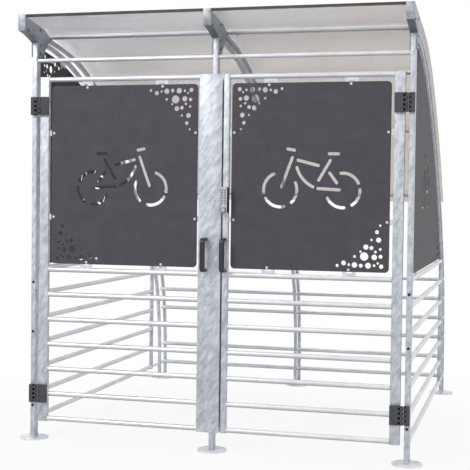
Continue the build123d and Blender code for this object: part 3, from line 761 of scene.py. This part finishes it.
for name, side in (("left", -1), ("right", 1)):
    low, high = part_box(name + "_leaf_panel")
    bm = bmesh.new()
    for column in rivet_columns:
        for z in (low.z + rivet_end_inset, high.z - rivet_end_inset):
            domed(bm, (side * column, low.y, z), (0, -1, 0), rivet_radius, rivet_rise)
    for z in rivet_side_heights:
        for x in (low.x + rivet_side_inset, high.x - rivet_side_inset):
            domed(bm, (x, low.y, z), (0, -1, 0), rivet_radius, rivet_rise)
    piece(name + "_panel_rivets", bm, name + "_leaf", rivet_white)

    low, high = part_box("front_post_" + name)
    bm = bmesh.new()
    for z in plug_heights:
        domed(bm, ((low.x + high.x) / 2, low.y, z), (0, -1, 0), plug_radius, rivet_rise)
    piece("front_post_plugs_" + name, bm, "frame", plug_black)

for name in ("left", "middle", "right"):
    low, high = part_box("knee_bracket_" + name)
    middle_x = (low.x + high.x) / 2
    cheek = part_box("front_post_" + name)[1].x - middle_x + cheek_reach
    bm = bmesh.new()
    for y, z in cheek_bolts:
        for side in (-1, 1):
            domed(bm, (middle_x + side * cheek, y * mm, z * mm), (side, 0, 0), bolt_radius, bolt_rise)
    piece("bracket_bolts_" + name, bm, "frame", bolt_dark)

bm = bmesh.new()
purlin_boxes = sorted(islands("roof_purlins"), key=lambda box: box[0].y)
low, high = purlin_boxes[0]
head = [(0, 0), (0, bolt_radius), (bolt_rise, bolt_radius), (bolt_rise, 0)]
shank = [(0, 0), (0, shank_radius), (shank_length, shank_radius), (shank_length, 0)]
for x in purlin_bolt_places:
    place = (x * mm, (low.y + high.y) / 2, low.z)
    turned(bm, head, place, (0, 0, -1), bolt_sides)
    turned(bm, shank, place, (0, 0, -1), shank_sides)
piece("purlin_bolts", bm, "frame", plated_zinc)


# Hinge combs: the fingers of the two halves take turns along the pin, with painted shade making the
# recesses between them dark

joints = {joint["name"]: joint for joint in frame["record"]["behaviour"]["joints"]}
hinge_pin = Vector(joints["right_leaf_hinge"]["pos_m"])


def hinge_comb(node):
    """Hinge halves of a node: plates with fingers to the pin, and a black strip behind the recesses as
    painted shade.
    """
    on_post = node.startswith("post")
    seat_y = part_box("front_post_left" if on_post else "left_leaf_outer_stile")[0].y
    body = body_of(node)
    half, back = bmesh.new(), bmesh.new()
    for low, high in islands(node):
        side = math.copysign(1, low.x)
        pin_x = side * hinge_pin.x
        outward = side if on_post else -side
        root = pin_x + outward * comb_root
        outer = max((low.x, high.x), key=lambda x: outward * x)
        plate = round_rectangle(min(root, outer), low.z, max(root, outer), high.z, comb_corner, 3)
        sheet(plate, [], seat_y - low.y, upright_plane((seat_y + low.y) / 2), half)

        margin = (high.z - low.z - comb_rows * comb_row) / 2
        edges = [low.z, *[low.z + margin + comb_row * i for i in range(comb_rows + 1)], high.z]
        rows = list(zip(edges, edges[1:]))
        finger_y = low.y + comb_step
        for bottom, top in rows[1::2] if on_post else rows[0::2]:
            bottom, top = bottom + comb_gap, top - comb_gap
            x0, x1 = sorted((pin_x, root + outward * comb_step))
            finger = round_rectangle(x0, bottom, x1, top, comb_step, 3)
            sheet(finger, [], hinge_pin.y - finger_y, upright_plane((hinge_pin.y + finger_y) / 2), half)
            height = top - bottom
            barrel = [(0, 0), (0, barrel_radius), (height, barrel_radius), (height, 0)]
            turned(half, barrel, (pin_x, hinge_pin.y, bottom), (0, 0, 1), barrel_sides)

        # Black strip behind the recesses: painted shade
        x0, x1 = sorted((pin_x + outward * comb_back_start, root + outward * comb_back))
        strip = round_rectangle(x0, low.z, x1, high.z, comb_back, 3)
        sheet(strip, [], comb_back, upright_plane(comb_back_y + comb_back / 2), back)
    piece(node + "_comb", half, body, hinge_lit_grey, (node,))
    piece(node + "_backs", back, body, hinge_shade_black)


for node in ("post_hinges_left", "post_hinges_right", "left_leaf_hinges", "right_leaf_hinges"):
    hinge_comb(node)


# Lock keys, knob and the black moulded body behind the casting

low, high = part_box("keypad_lock")
lock_x = (low.x + high.x) / 2
lock_face_y = low.y + knob_depth
bm = bmesh.new()
for row in range(key_rows):
    for way in (-1, 1):
        place = (lock_x + way * key_column, lock_face_y, high.z - key_drop - row * key_pitch)
        domed(bm, place, (0, -1, 0), key_radius, key_rise)
piece("keypad_keys", bm, body_of("keypad_lock"), key_grey)

bm = bmesh.new()
side_profile = round_rectangle(
    lock_face_y + lock_front, low.z + lock_lip, high.y, high.z - lock_lip, lock_round
)
for x in (low.x - lock_skin / 2, high.x + lock_skin / 2):
    sheet(side_profile, [], lock_skin, side_plane(x), bm)
piece("keypad_side_covers", bm, body_of("keypad_lock"), plug_black)

bm = bmesh.new()
knob_place = Vector((lock_x, lock_face_y, low.z + knob_height))
ring = [(-knob_ring_depth, 0), (-knob_ring_depth, knob_ring), (lock_skin, knob_ring), (lock_skin, 0)]
turned(bm, ring, knob_place, (0, -1, 0))
piece("keypad_knob_ring", bm, body_of("keypad_lock"), plug_black)


# Camera at the photograph's place, with its lens in millimetres on a 36 mm sensor

camera_place = Vector((1.6125, -5.5814, 1.3280))
camera_yaw = math.radians(14.994)
camera_pitch = math.radians(1.808)
camera_roll = math.radians(0.719)
lens = 84.81
sensor_width = 36

forward = Vector((
    -math.sin(camera_yaw) * math.cos(camera_pitch),
    math.cos(camera_yaw) * math.cos(camera_pitch),
    -math.sin(camera_pitch),
))
level_right = Vector((math.cos(camera_yaw), math.sin(camera_yaw), 0))
level_up = level_right.cross(forward)
right = level_right * math.cos(camera_roll) + level_up * math.sin(camera_roll)
up = level_up * math.cos(camera_roll) - level_right * math.sin(camera_roll)
camera_data = bpy.data.cameras.new("camera")
camera_data.lens = lens
camera_data.sensor_width = sensor_width
camera = bpy.data.objects.new("camera", camera_data)
bpy.context.scene.collection.objects.link(camera)
camera.matrix_world = Matrix((
    (right.x, up.x, -forward.x, camera_place.x),
    (right.y, up.y, -forward.y, camera_place.y),
    (right.z, up.z, -forward.z, camera_place.z),
    (0, 0, 0, 1),
))
bpy.context.scene.camera = camera


# Floor and soft studio light

def seen_white(tree):
    """One where a ray comes from the camera, a reflection or clear material, and none for light itself."""
    path = add(tree, "LightPath", {})
    either = {0: path.outputs["Is Camera Ray"], 1: path.outputs["Is Glossy Ray"]}
    seen = add(tree, "Math", either, operation="MAXIMUM")
    clear = {0: seen.outputs[0], 1: path.outputs["Is Transmission Ray"]}
    return add(tree, "Math", clear, operation="MAXIMUM").outputs[0]


def show_white(tree, share, plain, white, output):
    """Mixes plain white into what is seen, by a share."""
    mixed = add(tree, "MixShader", {0: share, 1: plain, 2: white})
    tree.links.new(mixed.outputs[0], output.inputs["Surface"])


white = (1, 1, 1, 1)
studio_tint = (0.93, 0.96, 1.0, 1)
studio_strength = 0.5
world = bpy.data.worlds.new("studio")
bpy.context.scene.world = world
world.use_nodes = True
world_tree = world.node_tree
world_light = world_tree.nodes["Background"]
world_light.inputs["Color"].default_value = studio_tint
world_light.inputs["Strength"].default_value = studio_strength
world_white = add(world_tree, "Background", {"Color": white, "Strength": 1.0})
world_output = world_tree.nodes["World Output"]
show_white(world_tree, seen_white(world_tree), world_light.outputs[0], world_white.outputs[0], world_output)

floor_white = 0.9
floor_fade = (1.4, 3.4)
floor_grey = (0.8, 0.8, 0.8, 1)
floor_roughness = 0.9
floor_reach = 30
floor_finish, floor_tree, floor_shader = material(
    "pale_studio_floor", {"Base Color": floor_grey, "Roughness": floor_roughness}
)
# White away from the object, so that only the shadow near the feet is seen
ground = add(floor_tree, "TexCoord", {})
reach = add(floor_tree, "VectorMath", {0: ground.outputs["Object"]}, operation="LENGTH")
fade = {"Value": reach.outputs["Value"], "From Min": floor_fade[0], "From Max": floor_fade[1]}
away = add(floor_tree, "MapRange", {**fade, "To Min": floor_white})
share = add(floor_tree, "Math", {0: away.outputs[0], 1: seen_white(floor_tree)}, operation="MULTIPLY")
glow = add(floor_tree, "Emission", {"Color": white, "Strength": 1.0})
floor_output = floor_tree.nodes["Material Output"]
show_white(floor_tree, share.outputs[0], floor_shader.outputs[0], glow.outputs[0], floor_output)
bm = bmesh.new()
bmesh.ops.create_grid(bm, x_segments=1, y_segments=1, size=floor_reach)
floor_mesh = bpy.data.meshes.new("studio_floor")
bm.to_mesh(floor_mesh)
bm.free()
floor_mesh.materials.append(floor_finish)
floor = bpy.data.objects.new("studio_floor", floor_mesh)
bpy.context.scene.collection.objects.link(floor)

doors_middle = (0, 0.8, 1.0)
roof_middle = (0, 1.2, 0.0)
key_place = (-4.4, -6.6, 7.6)
key_size = 2.0
key_power = 350
fill_place = (6.5, -5.0, 3.0)
fill_size = 3.0
fill_power = 25
top_place = (0, 1.5, 7.0)
top_size = 5.0
top_power = 200


def soft_lamp(name, place, target, size, power):
    """Square soft lamp that looks at a target."""
    data = bpy.data.lights.new(name, "AREA")
    data.size = size
    data.energy = power
    lamp = bpy.data.objects.new(name, data)
    bpy.context.scene.collection.objects.link(lamp)
    lamp.location = place
    lamp.rotation_euler = (Vector(target) - Vector(place)).to_track_quat("-Z", "Y").to_euler()


soft_lamp("key_lamp", key_place, doors_middle, key_size, key_power)
soft_lamp("fill_lamp", fill_place, doors_middle, fill_size, fill_power)
soft_lamp("top_lamp", top_place, roof_middle, top_size, top_power)

bpy.context.scene.view_settings.view_transform = "Standard"
